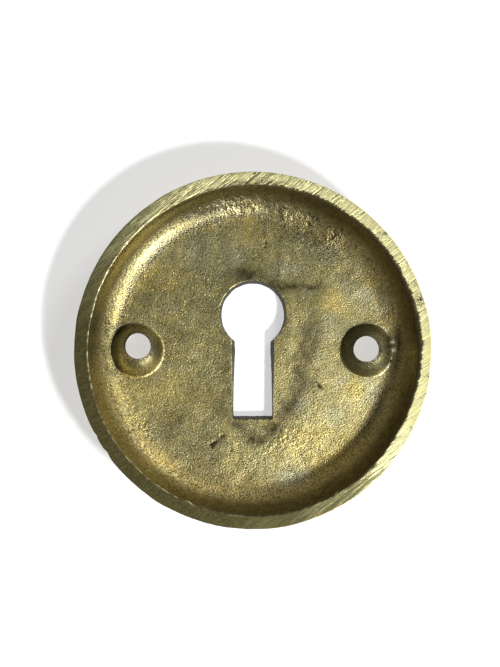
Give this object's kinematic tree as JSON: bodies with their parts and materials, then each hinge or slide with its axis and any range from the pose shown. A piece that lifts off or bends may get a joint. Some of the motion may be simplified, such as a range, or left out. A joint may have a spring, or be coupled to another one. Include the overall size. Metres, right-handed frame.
{
  "type": "keyhole escutcheon",
  "caption": "Round hollow-backed brass plate with a keyhole and countersunk screw holes backed by domed bosses; it covers the keyhole of a door or cabinet lock.",
  "frame": {"origin": "centre of the front face, which the plate lies on", "axes": "+Z out of the hollow back, towards the door; +Y up the door, towards the round end of the keyhole; +X along the line of the screw holes"},
  "size_m": [0.05, 0.05, 0.0064],
  "materials": {
    "cast_brass": "aged raw casting inside, ground rim, satin front"
  },
  "bodies": {
    "root": {"escutcheon_plate": "cast_brass"}
  },
  "joints": []
}
